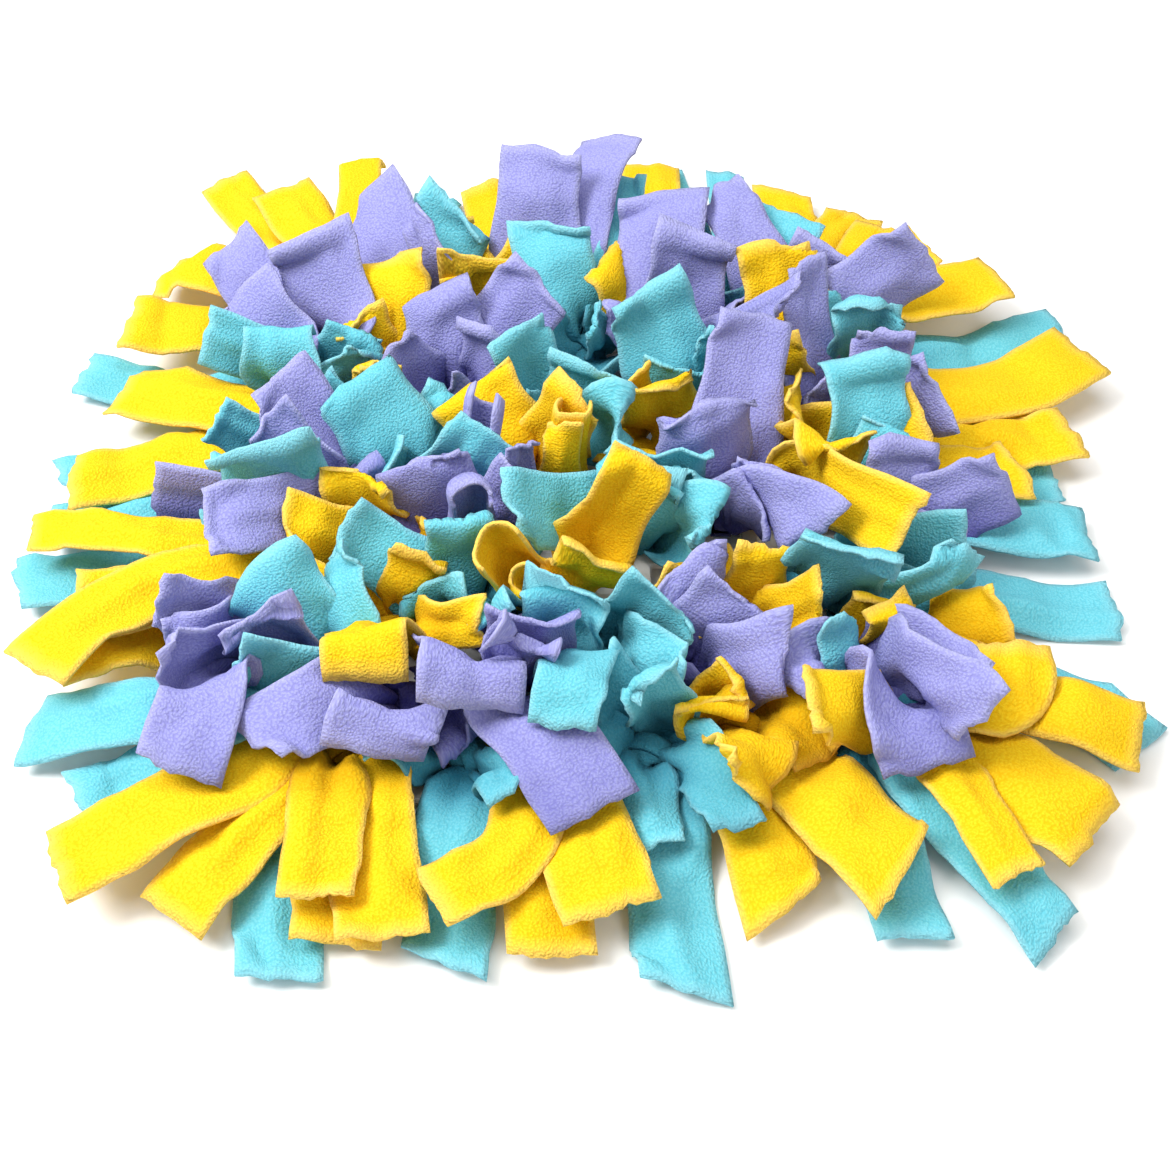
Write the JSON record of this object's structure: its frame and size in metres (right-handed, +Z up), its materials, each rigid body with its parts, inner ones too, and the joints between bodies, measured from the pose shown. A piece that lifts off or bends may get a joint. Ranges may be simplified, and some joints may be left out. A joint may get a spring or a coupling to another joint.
{
  "type": "snuffle mat",
  "caption": "Square grid mat with soft fleece strips knotted over its bars, standing up as a deep pile to hide pet food in and lying out flat all round.",
  "frame": {"origin": "middle of the grid mat's underside, on its centre foot, at floor level", "axes": "+Z up through the pile, +X to the right and +Y to the back as seen from the front"},
  "size_m": [0.5362, 0.55, 0.0931],
  "materials": {
    "fleece_yellow": "napped",
    "fleece_turquoise": "napped",
    "fleece_lavender": "napped",
    "rubber_mat": "matte"
  },
  "bodies": {
    "root": {"grid_mat": "rubber_mat", "tuft_lavender_01": "fleece_lavender", "tuft_lavender_02": "fleece_lavender", "tuft_lavender_03": "fleece_lavender", "tuft_lavender_04": "fleece_lavender", "tuft_lavender_05": "fleece_lavender", "tuft_lavender_06": "fleece_lavender", "tuft_lavender_07": "fleece_lavender", "tuft_lavender_08": "fleece_lavender", "tuft_lavender_09": "fleece_lavender", "tuft_lavender_10": "fleece_lavender", "tuft_lavender_11": "fleece_lavender", "tuft_lavender_12": "fleece_lavender", "tuft_lavender_13": "fleece_lavender", "tuft_lavender_14": "fleece_lavender", "tuft_lavender_15": "fleece_lavender", "tuft_lavender_16": "fleece_lavender", "tuft_lavender_17": "fleece_lavender", "tuft_turquoise_01": "fleece_turquoise", "tuft_turquoise_02": "fleece_turquoise", "tuft_turquoise_03": "fleece_turquoise", "tuft_turquoise_04": "fleece_turquoise", "tuft_turquoise_05": "fleece_turquoise", "tuft_turquoise_06": "fleece_turquoise", "tuft_turquoise_07": "fleece_turquoise", "tuft_turquoise_08": "fleece_turquoise", "tuft_turquoise_09": "fleece_turquoise", "tuft_turquoise_10": "fleece_turquoise", "tuft_turquoise_11": "fleece_turquoise", "tuft_turquoise_12": "fleece_turquoise", "tuft_turquoise_13": "fleece_turquoise", "tuft_turquoise_14": "fleece_turquoise", "tuft_turquoise_15": "fleece_turquoise", "tuft_turquoise_16": "fleece_turquoise", "tuft_turquoise_17": "fleece_turquoise", "tuft_turquoise_18": "fleece_turquoise", "tuft_turquoise_19": "fleece_turquoise", "tuft_turquoise_20": "fleece_turquoise", "tuft_yellow_01": "fleece_yellow", "tuft_yellow_02": "fleece_yellow", "tuft_yellow_03": "fleece_yellow", "tuft_yellow_04": "fleece_yellow", "tuft_yellow_05": "fleece_yellow", "tuft_yellow_06": "fleece_yellow", "tuft_yellow_07": "fleece_yellow", "tuft_yellow_08": "fleece_yellow", "tuft_yellow_09": "fleece_yellow", "tuft_yellow_10": "fleece_yellow", "tuft_yellow_11": "fleece_yellow", "tuft_yellow_12": "fleece_yellow", "tuft_yellow_13": "fleece_yellow", "tuft_yellow_14": "fleece_yellow", "tuft_yellow_15": "fleece_yellow", "tuft_yellow_16": "fleece_yellow", "tuft_yellow_17": "fleece_yellow", "tuft_yellow_18": "fleece_yellow", "tuft_yellow_19": "fleece_yellow", "tuft_yellow_20": "fleece_yellow", "tuft_yellow_21": "fleece_yellow"}
  },
  "joints": []
}
